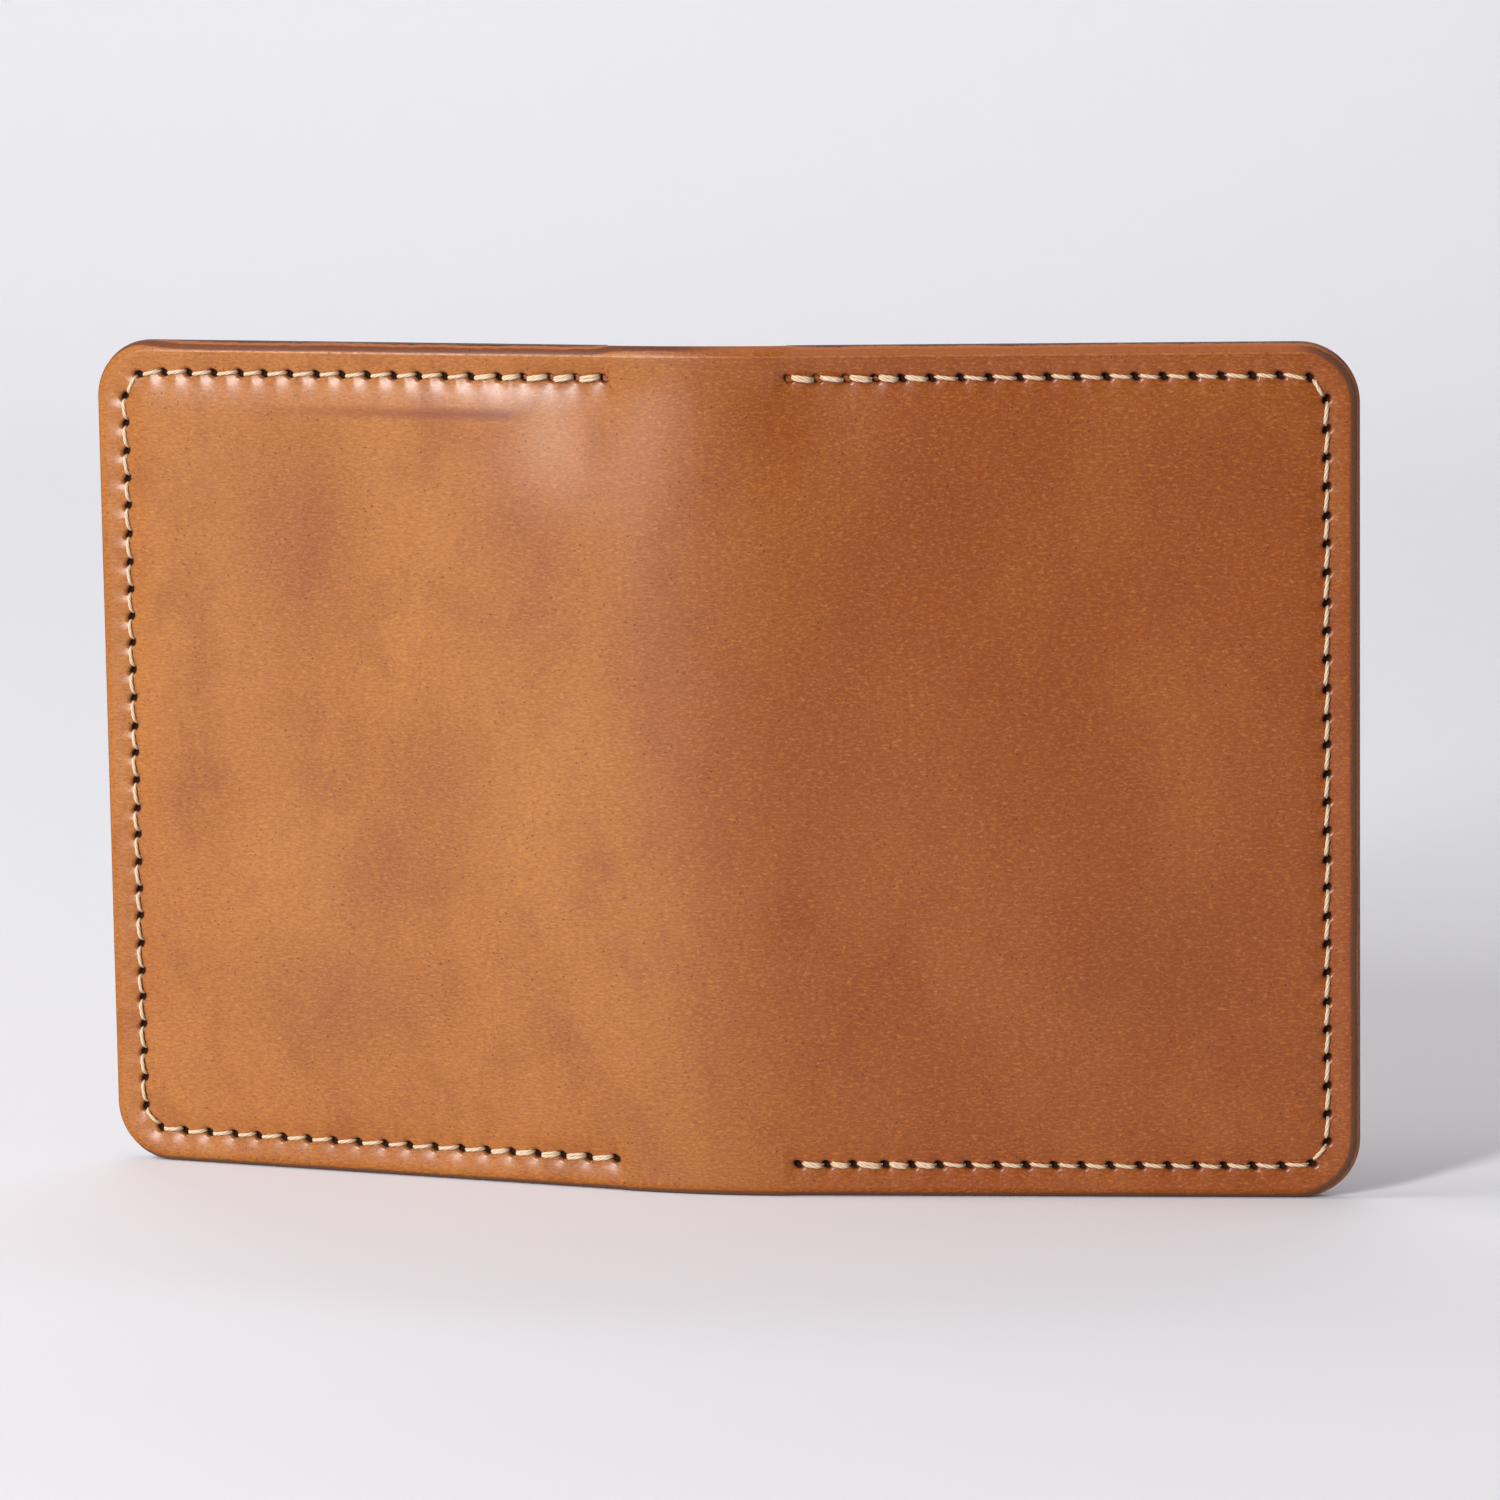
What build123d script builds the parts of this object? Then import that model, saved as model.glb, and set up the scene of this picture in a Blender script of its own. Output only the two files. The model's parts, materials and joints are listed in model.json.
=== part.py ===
from build123d import *
import os
from math import cos, pi, radians, sin

# Bifold card holder of thick tanned leather, standing open on its lower edge.
# One outer cover folds round a soft spine. Behind each half of it lie an inner panel, a T-shaped rear slot
# and a front pocket, held by lockstitched seams of a needle thread and a bobbin thread.
# Frame: +Z up along the fold, +X to the right half, -Y out of the cover's outer face, which shows the seams.
# The origin is under the middle of the box that holds the part, on the surface that it stands on.
# A half is drawn flat: u runs from the spine's centre line to the side edge, v from the cover's outer face inwards.

# Whole holder
holder_height = 102.0
half_width = 78.2  # the spine's centre line to the side edge, along the leather
corner_radius = 7.2
spine_width = 20.6  # leather between the two stitched halves, which does the bending
rest_turn = 8.0  # degrees that each half is turned back from flat at rest
body_gap = 0.15  # between the spine strip and a half's cover

# Leathers
cover_thickness = 1.3
inner_thickness = 0.8
slot_thickness = 0.7
pocket_thickness = 0.8
burnish_radius = 0.4  # rounding of the cover's outer edge

# Card slots, for cards of 85.6 x 54 x 0.76
card_gap = 1.0
card_room = 58.0  # width in which a card slides
cavity_far = half_width - 5.2
cavity_near = cavity_far - card_room
wall = 0.7  # leather beside a card
pocket_inner_edge = cavity_near - 2.9  # u of the pockets' free side, beside the spine
slot_corner = 8.0  # rounding of the rear slot's upper corner, beside the spine
rear_mouth, flange_base = 94.0, 84.3  # z of the rear slot's mouth, and of its flange's lower edge
rear_floor, rear_end = 14.2, 11.0  # z of the rear card's lower edge, and of the leather's end below it
stem_near, stem_far = cavity_near + 0.5, cavity_far - 0.3  # u of the T's stem
front_mouth, front_floor = 84.0, 5.2
pad_corner, pad_round = 3.0, 1.2  # of the raised part of the front pocket, seen flat and along its edge

# Seams
seam_margin = 3.9  # from the edge to the seam
seam_radius = corner_radius - seam_margin
seam_start = spine_width / 2 + 0.9
edge_stitches = 64
pocket_seam_u, pocket_seam_low, pocket_seam_high = cavity_near - 1.2, 7.3, 88.2
pocket_stitches = 24
slot_seam_z, slot_seam_near, slot_seam_far = 12.9, stem_near + 1.6, stem_far - 1.6
slot_stitches = 15
hole_radius = 0.45
thread_width, thread_thickness = 0.6, 0.4
groove_width, groove_depth = 0.9, 0.45
leg_radius = 0.28

# Depths v of the layers, from the cover's outer face
inner_face = cover_thickness + inner_thickness
rear_under = inner_face + card_gap
rear_face = rear_under + slot_thickness
front_under = rear_face + card_gap
front_face = front_under + pocket_thickness
pad_near, pad_far = cavity_near - wall, cavity_far + wall
pad_floor = front_floor - wall

# A half turns about an axis inside the spine's bend. Closed, the spine is a half circle of closed_radius.
closed_radius = spine_width / pi
fold_axis = Vector(spine_width / 4, closed_radius - spine_width / 4, 0)
turn = radians(rest_turn)
along = Vector(cos(turn), sin(turn), 0)
inward = Vector(-sin(turn), cos(turn), 0)
half_corner = fold_axis - along * fold_axis.X - inward * fold_axis.Y
deepest = half_corner + along * (pad_far - pad_round) + inward * (front_face - pad_round)
overall_depth = deepest.Y + pad_round
to_middle = Vector(0, -overall_depth / 2, 0)
half_plane = Plane(origin=half_corner + to_middle, x_dir=along, z_dir=-inward)


def depth(v):
    """The half's drawing plane at depth v. Positive extrusions go outwards, towards v = 0."""
    return half_plane.offset(-v)


def span(low, high):
    """The middle and the size of a stretch."""
    return (low + high) / 2, high - low


def block(u_low, u_high, z_low, z_high, v_low, v_high, mode=Mode.ADD):
    """Adds or cuts a box of leather between two depths."""
    u_mid, u_size = span(u_low, u_high)
    z_mid, z_size = span(z_low, z_high)
    with BuildSketch(depth(v_high)) as outline:
        with Locations((u_mid, z_mid)):
            Rectangle(u_size, z_size)
    extrude(outline.sketch, amount=v_high - v_low, mode=mode)


def raised(u_low, u_high, z_low, corner, v_high, mode=Mode.ADD):
    """Adds or cuts the room over the cards, up to the front pocket's mouth, with its lower corners rounded."""
    u_mid, u_size = span(u_low, u_high)
    z_mid, z_size = span(z_low, front_mouth)
    with BuildSketch(depth(v_high)) as pad:
        with Locations((u_mid, z_mid)):
            Rectangle(u_size, z_size)
        fillet(pad.vertices().group_by(Axis.Y)[0], corner)
    extrude(pad.sketch, amount=v_high - inner_face, mode=mode)


def flange(u_low, u_high, v_low):
    """The part between two u of the T's cross-bar, whose upper corner beside the spine is rounded off."""
    u_mid, u_size = span(pocket_inner_edge, half_width)
    z_mid, z_size = span(flange_base, rear_mouth)
    with BuildSketch(depth(rear_face)) as bar:
        with Locations((u_mid, z_mid)):
            Rectangle(u_size, z_size)
        fillet(bar.vertices().group_by(Axis.X)[0].sort_by(Axis.Y)[-1], slot_corner)
        kept_mid, kept_size = span(u_low, u_high)
        with Locations((kept_mid, z_mid)):
            Rectangle(kept_size, z_size, mode=Mode.INTERSECT)
    extrude(bar.sketch, amount=rear_face - v_low)


def half_outline(u_low, z_low, z_high, v_low, v_high, rounded):
    """A plate from u_low to the side edge, with the side corners at the heights in rounded rounded off."""
    u_mid, u_size = span(u_low, half_width)
    z_mid, z_size = span(z_low, z_high)
    with BuildSketch(depth(v_high)) as outline:
        with Locations((u_mid, z_mid)):
            Rectangle(u_size, z_size)
        side = outline.vertices().group_by(Axis.X)[-1].sort_by(Axis.Y)
        fillet([side[i] for i in rounded], corner_radius)
    extrude(outline.sketch, amount=v_high - v_low)


def holes(points, v_low, v_high):
    """Stitch holes through the leather between two depths."""
    with BuildSketch(depth(v_high)) as punched:
        with Locations(*points):
            Circle(hole_radius)
    extrude(punched.sketch, amount=v_high - v_low, mode=Mode.SUBTRACT)


def groove(points, v_low, v_high):
    """A channel that sinks a thread below the leather's face."""
    with BuildSketch(depth(v_high)) as channel:
        with BuildLine():
            Polyline(*points)
            offset(amount=groove_width / 2)
        make_face()
    extrude(channel.sketch, amount=v_high - v_low, mode=Mode.SUBTRACT)


def spread(path, count):
    """Points that divide a path into count stitches of one length."""
    return [
        path.position_at(path.length * i / count, position_mode=PositionMode.LENGTH)
        for i in range(count + 1)
    ]


def lies_on(level, points):
    """Runs of neighbouring stitches that lie at one depth. A stitch that crosses a step lies on its higher side."""
    depths = [level(point) for point in points]
    runs = []
    for i in range(len(points) - 1):
        v = max(depths[i], depths[i + 1])
        if runs and runs[-1][0] == v:
            runs[-1][1].append(points[i + 1])
        else:
            runs.append((v, [points[i], points[i + 1]]))
    return runs


def thread(runs, rise, leg_end):
    """One thread of a seam: a flat cord from hole to hole, and a leg down each hole to leg_end."""
    for v, points in runs:
        with BuildSketch(depth(v)) as cord:
            with BuildLine():
                Polyline(*points)
                offset(amount=thread_width / 2)
            make_face()
        extrude(cord.sketch, amount=rise)
        with BuildSketch(depth(v)) as legs:
            with Locations(*points):
                Circle(leg_radius)
        extrude(legs.sketch, amount=v - leg_end)


# Seam lines, in u and z
with BuildLine() as edge_line:
    FilletPolyline(
        (seam_start, holder_height - seam_margin),
        (half_width - seam_margin, holder_height - seam_margin),
        (half_width - seam_margin, seam_margin),
        (seam_start, seam_margin),
        radius=seam_radius,
    )
with BuildLine() as pocket_line:
    Line((pocket_seam_u, pocket_seam_low), (pocket_seam_u, pocket_seam_high))
with BuildLine() as slot_line:
    Line((slot_seam_near, slot_seam_z), (slot_seam_far, slot_seam_z))
edge_points = spread(edge_line.wires()[0], edge_stitches)
pocket_points = spread(pocket_line.wires()[0], pocket_stitches)
slot_points = spread(slot_line.wires()[0], slot_stitches)


def in_front(point):
    """Whether the front pocket covers a stitch hole."""
    return point.Y < front_mouth and point.X > pocket_inner_edge


def in_flange(point):
    """Whether the rear slot's flange covers a stitch hole."""
    return flange_base < point.Y < rear_mouth and point.X > pocket_inner_edge


def inside_level(point):
    """Depth of the uppermost leather on the inside, at a stitch hole."""
    if in_front(point):
        return inner_face + pocket_thickness
    return inner_face + slot_thickness if in_flange(point) else inner_face


# Spine: the middle of the outer cover, bent in an arc that meets both halves
with BuildPart() as spine_strip:
    bend_radius = spine_width / 2 / turn
    half_arc = rest_turn * (1 - 2 * body_gap / spine_width)
    centre = (0, bend_radius - overall_depth / 2)
    with BuildSketch():
        with BuildLine():
            outer = CenterArc(centre, bend_radius, -90 - half_arc, 2 * half_arc)
            inner = CenterArc(centre, bend_radius - cover_thickness, -90 - half_arc, 2 * half_arc)
            Line(outer @ 0, inner @ 0)
            Line(outer @ 1, inner @ 1)
        make_face()
    extrude(amount=holder_height)
    ends = spine_strip.faces().filter_by(Plane.XY)
    fillet([end.edges().sort_by(SortBy.LENGTH)[-1] for end in ends], burnish_radius)
spine_strip.part.label = "spine_strip"

# Right half of the outer cover, with its side corners rounded and its outer edge burnished
with BuildPart() as cover_panel:
    half_outline(spine_width / 2, 0, holder_height, 0, cover_thickness, (0, 1))
    outer_face = cover_panel.faces().sort_by(Axis(half_plane.origin, half_plane.z_dir))[-1]
    rim = outer_face.edges().sort_by(Axis.X)[1:]
    fillet(rim, burnish_radius)
    groove(edge_points, 0, groove_depth)
    holes(edge_points, 0, cover_thickness)

# Inner panel behind the whole half. The space between it and the cover opens towards the spine.
with BuildPart() as inner_panel:
    half_outline(spine_width / 2, 0, holder_height, cover_thickness, inner_face, (0, 1))
    for seam in (pocket_points, slot_points):
        groove([seam[0], seam[-1]], cover_thickness, cover_thickness + groove_depth)
    holes(edge_points + pocket_points + slot_points, cover_thickness, inner_face)

# Rear card slot: a T of leather. Its face stands off the inner panel by a card's room, down to its own seam, and
# its two tabs step down to the inner panel, where the seams hold them.
flange_face = inner_face + slot_thickness
slot_holes = [point for point in edge_points + pocket_points if in_flange(point)]
with BuildPart() as rear_slot:
    flange(cavity_near, cavity_far, rear_under)
    block(stem_near, stem_far, rear_floor, flange_base, rear_under, rear_face)
    block(stem_near, stem_far, rear_floor - wall, rear_floor, inner_face, rear_face)
    block(stem_near, stem_far, rear_end, rear_floor - wall, inner_face, flange_face)
    holes(slot_points, inner_face, flange_face)
with BuildPart() as slot_near_tab:
    flange(pocket_inner_edge, cavity_near, inner_face)
    block(pocket_inner_edge, pad_near, flange_base, rear_mouth, flange_face, rear_face, Mode.SUBTRACT)
    holes(slot_holes, inner_face, flange_face)
with BuildPart() as slot_far_tab:
    flange(cavity_far, half_width, inner_face)
    block(pad_far, half_width, flange_base, rear_mouth, flange_face, rear_face, Mode.SUBTRACT)
    holes(slot_holes, inner_face, flange_face)

# Front pocket: pressed down on the inner panel along its seams, and raised over both cards between them
with BuildPart() as front_pocket:
    block(pocket_inner_edge, half_width, 0, front_mouth, inner_face, inner_face + pocket_thickness)
    low_corner = front_pocket.edges().filter_by(Axis((0, 0, 0), inward)).sort_by(Axis.X).sort_by(Axis.Z)
    fillet(low_corner[:2].sort_by(Axis.X)[-1], corner_radius)
    raised(pad_near, pad_far, pad_floor, pad_corner, front_face)
    top_face = front_pocket.faces().sort_by(Axis(half_plane.origin, half_plane.z_dir))[0]
    fillet(top_face.edges().sort_by(Axis.Z)[:-1], pad_round)
    raised(cavity_near, cavity_far, front_floor, pad_corner - wall, front_under, Mode.SUBTRACT)
    holes(
        [point for point in edge_points + pocket_points if in_front(point)],
        inner_face,
        inner_face + pocket_thickness,
    )

# Edge seam: the needle thread shows on the cover, the bobbin thread inside, and they lock in the leather
with BuildPart() as edge_needle_thread:
    thread([(groove_depth, edge_points)], thread_thickness, cover_thickness)
with BuildPart() as edge_bobbin_thread:
    thread(lies_on(inside_level, edge_points), -thread_thickness, cover_thickness)

# Pocket seam, beside the spine, and slot seam, under the rear card: the bobbin threads lie behind the inner panel
back_of_inner = cover_thickness + groove_depth
lock_depth = inner_face - 0.1
with BuildPart() as pocket_needle_thread:
    thread(lies_on(inside_level, pocket_points), -thread_thickness, lock_depth)
with BuildPart() as pocket_bobbin_thread:
    thread([(back_of_inner, pocket_points)], thread_thickness, lock_depth)
with BuildPart() as slot_needle_thread:
    thread([(inner_face + slot_thickness, slot_points)], -thread_thickness, lock_depth)
with BuildPart() as slot_bobbin_thread:
    thread([(back_of_inner, slot_points)], thread_thickness, lock_depth)

os.makedirs("parts", exist_ok=True)
export_step(spine_strip.part, "parts/spine_strip.step")
right_half = {
    "cover_panel": cover_panel,
    "inner_panel": inner_panel,
    "rear_slot": rear_slot,
    "slot_near_tab": slot_near_tab,
    "slot_far_tab": slot_far_tab,
    "front_pocket": front_pocket,
    "edge_needle_thread": edge_needle_thread,
    "edge_bobbin_thread": edge_bobbin_thread,
    "pocket_needle_thread": pocket_needle_thread,
    "pocket_bobbin_thread": pocket_bobbin_thread,
    "slot_needle_thread": slot_needle_thread,
    "slot_bobbin_thread": slot_bobbin_thread,
}
for name, piece in right_half.items():
    piece.part.label = f"right_{name}"
    export_step(piece.part, f"parts/right_{name}.step")
    with BuildPart() as twin:
        mirror(piece.part, about=Plane.YZ)
    twin.part.label = f"left_{name}"
    export_step(twin.part, f"parts/left_{name}.step")

print("fold axis of the right half, in mm:", fold_axis + to_middle)
print("overall depth at rest, in mm:", overall_depth)
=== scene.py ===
import json
import math
import random

import bpy
import numpy as np
from mathutils import Matrix, Vector
from mathutils.geometry import delaunay_2d_cdt


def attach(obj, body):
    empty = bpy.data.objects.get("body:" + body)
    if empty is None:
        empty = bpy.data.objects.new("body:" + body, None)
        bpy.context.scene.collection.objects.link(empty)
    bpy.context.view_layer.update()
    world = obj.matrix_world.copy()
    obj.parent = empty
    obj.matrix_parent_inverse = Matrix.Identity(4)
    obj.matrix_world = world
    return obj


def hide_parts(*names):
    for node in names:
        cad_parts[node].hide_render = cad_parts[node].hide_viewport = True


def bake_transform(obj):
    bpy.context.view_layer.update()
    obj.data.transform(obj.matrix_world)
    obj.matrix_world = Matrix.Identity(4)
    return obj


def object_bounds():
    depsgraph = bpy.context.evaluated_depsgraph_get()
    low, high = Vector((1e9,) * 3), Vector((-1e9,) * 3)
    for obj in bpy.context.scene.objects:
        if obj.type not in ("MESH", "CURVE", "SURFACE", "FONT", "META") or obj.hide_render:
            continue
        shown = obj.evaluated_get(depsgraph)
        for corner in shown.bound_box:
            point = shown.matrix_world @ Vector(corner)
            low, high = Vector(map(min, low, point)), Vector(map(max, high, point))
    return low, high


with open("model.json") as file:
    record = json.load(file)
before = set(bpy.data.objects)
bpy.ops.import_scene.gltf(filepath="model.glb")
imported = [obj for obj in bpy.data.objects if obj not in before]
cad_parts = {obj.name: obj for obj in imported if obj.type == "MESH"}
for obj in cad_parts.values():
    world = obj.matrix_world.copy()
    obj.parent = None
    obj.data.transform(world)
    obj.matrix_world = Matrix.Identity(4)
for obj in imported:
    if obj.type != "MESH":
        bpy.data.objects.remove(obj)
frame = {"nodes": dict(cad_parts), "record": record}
cadLow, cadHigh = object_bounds()
print("frame loaded")

# All lengths below are millimetres unless a note says otherwise. A half of the holder is drawn flat: u runs from the
# middle of the spine to the side edge, z up, and v from the outer face of the cover inwards.
mm = 0.001

holder = {
    "height": 102.0,
    "halfWidth": 78.2,
    "cornerRadius": 7.2,
    "spineWidth": 20.6,
    "restTurn": 8.0,  # degrees each half is turned back from flat
    "coverThickness": 1.3,
    "liningThickness": 0.8,
    "slotThickness": 0.7,
    "pocketThickness": 0.8,
    "cardGap": 1.0,
    "seamMargin": 3.9,
    "seamStart": 11.2,  # first stitch hole beside the spine
    "stitches": 64,
}
height, halfWidth = holder["height"], holder["halfWidth"]
halfSpine = holder["spineWidth"] / 2
innerFace = holder["coverThickness"] + holder["liningThickness"]

# The two fold axes come from the frame, and the flat drawing of a half is placed about them.
foldJoint = next(j for j in frame["record"]["behaviour"]["joints"] if j["name"] == "right_fold")
foldX, foldY = foldJoint["pos_m"][0] / mm, foldJoint["pos_m"][1] / mm
turn = math.radians(holder["restTurn"])
bendRadius = halfSpine / turn
spineFront = cadLow.y / mm
along = np.array([math.cos(turn), math.sin(turn)])
inward = np.array([-math.sin(turn), math.cos(turn)])
halfCorner = np.array([foldX, foldY]) - along * foldX - inward * (foldY - spineFront)


def smooth(low, high, x):
    t = np.clip((np.asarray(x, float) - low) / (high - low), 0, 1)
    return t * t * (3 - 2 * t)


def place(side, u, v, z):
    # from the flat drawing to the holder's own place: an arc over the spine and a plane over the half,
    # with no step between them
    angle = np.clip(u / bendRadius, 0, turn)
    arc = np.stack([bendRadius * np.sin(angle), spineFront + bendRadius * (1 - np.cos(angle))], -1)
    arcEnd = np.array([bendRadius * math.sin(turn), spineFront + bendRadius * (1 - math.cos(turn))])
    shift = (halfCorner + along * halfSpine - arcEnd) * np.clip(u / halfSpine, 0, 1)[:, None]
    flat = halfCorner + along * u[:, None]
    base = np.where((u < halfSpine)[:, None], arc + shift, flat)
    base = base + np.stack([-np.sin(angle), np.cos(angle)], -1) * np.asarray(v)[:, None]
    return np.stack([base[:, 0] * side, base[:, 1], z], -1) * mm


def nearest(points, path, closed=False):
    # distance from each point to a path, and how far along the path its nearest point lies
    a = path
    b = np.roll(path, -1, axis=0) if closed else path[1:]
    a = a if closed else path[:-1]
    step = b - a
    length = np.linalg.norm(step, axis=1)
    start = np.concatenate([[0], np.cumsum(length)[:-1]])
    distance, where = np.empty(len(points)), np.empty(len(points))
    for i in range(0, len(points), 2000):
        p = points[i:i + 2000, None, :]
        t = np.clip(((p - a) * step).sum(-1) / np.maximum(length**2, 1e-12), 0, 1)
        gap = np.linalg.norm(p - (a + step * t[..., None]), axis=-1)
        k = gap.argmin(1)
        rows = np.arange(len(k))
        distance[i:i + 2000] = gap[rows, k]
        where[i:i + 2000] = start[k] + t[rows, k] * length[k]
    return distance, where


def insetLoop(corners, inset, spacing, straightSpacing=None):
    # a closed outline moved inwards. corners holds (u, z, radius, whether the side after it is a cut edge)
    n = len(corners)
    sides = []
    for i in range(n):
        a, b = np.array(corners[i][:2], float), np.array(corners[(i + 1) % n][:2], float)
        d = (b - a) / np.linalg.norm(b - a)
        sides.append((a + np.array([-d[1], d[0]]) * (inset if corners[i][3] else 0), d))
    points = []
    for i in range(n):
        (p, d), (q, e) = sides[i - 1], sides[i]
        cross = d[0] * e[1] - d[1] * e[0]
        t = ((q - p)[0] * e[1] - (q - p)[1] * e[0]) / cross
        corner = p + d * t
        radius = corners[i][2]
        radius = max(radius - inset, 0) if cross > 0 else radius + inset
        if corners[i][2] == 0:
            radius = 0
        cut = radius * math.tan(abs(math.asin(max(-1, min(1, cross)))) / 2)
        centre = corner - d * cut + np.array([-d[1], d[0]]) * radius * (1 if cross > 0 else -1)
        points.append((corner - d * cut, corner + e * cut, centre, radius))
    line = []
    for i in range(n):
        first, last, centre, radius = points[i]
        if radius > 0.02:
            count = max(2, round(radius * math.pi / 2 / spacing))
            a0 = math.atan2(*(first - centre)[::-1])
            sweep = (math.atan2(*(last - centre)[::-1]) - a0 + math.pi) % (2 * math.pi) - math.pi
            for k in range(count):
                a = a0 + sweep * k / count
                line.append(centre + radius * np.array([math.cos(a), math.sin(a)]))
        nextFirst = points[(i + 1) % n][0]
        run = np.linalg.norm(nextFirst - last)
        count = max(1, round(run / (straightSpacing or spacing)))
        for k in range(count):
            line.append(last + (nextFirst - last) * k / count)
    return np.array(line)


def inside(points, loop):
    x, y = points[:, 0][:, None], points[:, 1][:, None]
    ax, ay = loop[:, 0], loop[:, 1]
    bx, by = np.roll(ax, -1), np.roll(ay, -1)
    crossing = ((ay > y) != (by > y)) & (x < (bx - ax) * (y - ay) / (by - ay + 1e-12) + ax)
    return crossing.sum(1) % 2 == 1


def planMesh(corners, rings, grid, spacing, fold=None):
    # triangles over a flat outline, with rows of points that follow its cut edge and a grid in the middle
    outline = insetLoop(corners, 0, spacing)
    plain = insetLoop(corners, 0, spacing, 1e6)
    cutEdge = freePath(corners, plain)
    low, high = outline.min(0), outline.max(0)
    us, zs = (np.arange(low[k] + grid / 2, high[k], grid) for k in (0, 1))
    if fold:  # closer columns where the hide turns
        us = np.concatenate([us[(us < fold[0]) | (us > fold[1])], np.arange(fold[0], fold[1] + 0.01, fold[2])])
    rows = [(insetLoop(corners, inset, step), inset * 0.97) for inset, step in rings]
    rows.append((np.stack(np.meshgrid(us, zs), -1).reshape(-1, 2), rings[-1][0] + grid * 0.4))
    kept = [outline]
    for group, margin in rows:
        group = group[inside(group, plain)]
        clear = nearest(group, cutEdge)[0] >= margin
        offRim = nearest(group, plain, closed=True)[0] >= min(margin, grid * 0.3)
        kept.append(group[clear & offRim])
    out = delaunay_2d_cdt([tuple(p) for p in np.concatenate(kept)], [], [list(range(len(outline)))], 1, 1e-5)
    return np.array([tuple(p) for p in out[0]]), [tuple(f) for f in out[2]], cutEdge


def freePath(corners, outline):
    # the part of an outline that is a cut edge; a side that isn't cut is left out by starting after it
    uncut = [i for i, c in enumerate(corners) if not c[3]]
    if not uncut:
        return np.concatenate([outline, outline[:1]])
    a = np.array(corners[(uncut[0] + 1) % len(corners)][:2], float)
    k = np.linalg.norm(outline - a, axis=1).argmin()
    line = np.roll(outline, -k, axis=0)
    b = np.array(corners[uncut[0]][:2], float)
    return line[: np.linalg.norm(line - b, axis=1).argmin() + 1]


def addMesh(name, verts, faces, attributes, finish):
    mesh = bpy.data.meshes.new(name)
    mesh.from_pydata(verts.tolist(), [], faces)
    for key, values in attributes.items():
        values = np.asarray(values, np.float32)
        if values.ndim == 1:
            mesh.attributes.new(key, "FLOAT", "POINT").data.foreach_set("value", values)
        else:
            mesh.attributes.new(key, "FLOAT_VECTOR", "POINT").data.foreach_set("vector", values.ravel())
    mesh.polygons.foreach_set("use_smooth", [True] * len(mesh.polygons))
    mesh.materials.append(finish)
    mesh.validate()
    piece = bpy.data.objects.new(name, mesh)
    bpy.context.scene.collection.objects.link(piece)
    return piece


def closedMesh(name, points, faces, attributes, finish):
    # drops the points of the back face that its cut edge shares with the front face
    used = sorted(set(i for f in faces for i in f))
    remap = {old: new for new, old in enumerate(used)}
    return addMesh(name, points[used], [tuple(remap[i] for i in f) for f in faces],
                   {k: a[used] for k, a in attributes.items()}, finish)


def edgeRounding(t, power):
    # 1 at a cut edge, 0 from where the face is flat; t runs from 0 to 1 between them
    return 1 - np.sqrt(np.maximum(1 - (1 - t) ** power, 0))


def sideWord(side):
    return "left" if side < 0 else "right"


# Seam lines in the flat drawing, and the places of their holes
def roundedRun(corners, spacing):
    # an open path through corners (u, z, radius)
    line = [np.array(corners[0][:2], float)]
    for i in range(1, len(corners) - 1):
        p, c, q = (np.array(corners[k][:2], float) for k in (i - 1, i, i + 1))
        d, e, r = (c - p) / np.linalg.norm(c - p), (q - c) / np.linalg.norm(q - c), corners[i][2]
        centre = c - d * r + e * r
        for t in np.linspace(0, math.pi / 2, max(3, round(r * 1.57 / spacing))):
            line.append(centre - e * r * math.cos(t) + d * r * math.sin(t))
    line.append(np.array(corners[-1][:2], float))
    return np.array(line)


seamCorner = holder["cornerRadius"] - holder["seamMargin"]
edgeSeam = roundedRun([
    (holder["seamStart"], height - holder["seamMargin"], 0),
    (halfWidth - holder["seamMargin"], height - holder["seamMargin"], seamCorner),
    (halfWidth - holder["seamMargin"], holder["seamMargin"], seamCorner),
    (holder["seamStart"], holder["seamMargin"], 0),
], 0.1)


def alongPath(path, distances):
    step = np.linalg.norm(np.diff(path, axis=0), axis=1)
    total = np.concatenate([[0], np.cumsum(step)])
    points = np.stack([np.interp(distances, total, path[:, k]) for k in (0, 1)], -1)
    ahead = np.stack([np.interp(np.minimum(distances + 0.05, total[-1]), total, path[:, k]) for k in (0, 1)], -1)
    behind = np.stack([np.interp(np.maximum(distances - 0.05, 0), total, path[:, k]) for k in (0, 1)], -1)
    tangent = ahead - behind
    return points, tangent / np.linalg.norm(tangent, axis=1)[:, None]


def pathLength(path):
    return np.linalg.norm(np.diff(path, axis=0), axis=1).sum()


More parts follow.
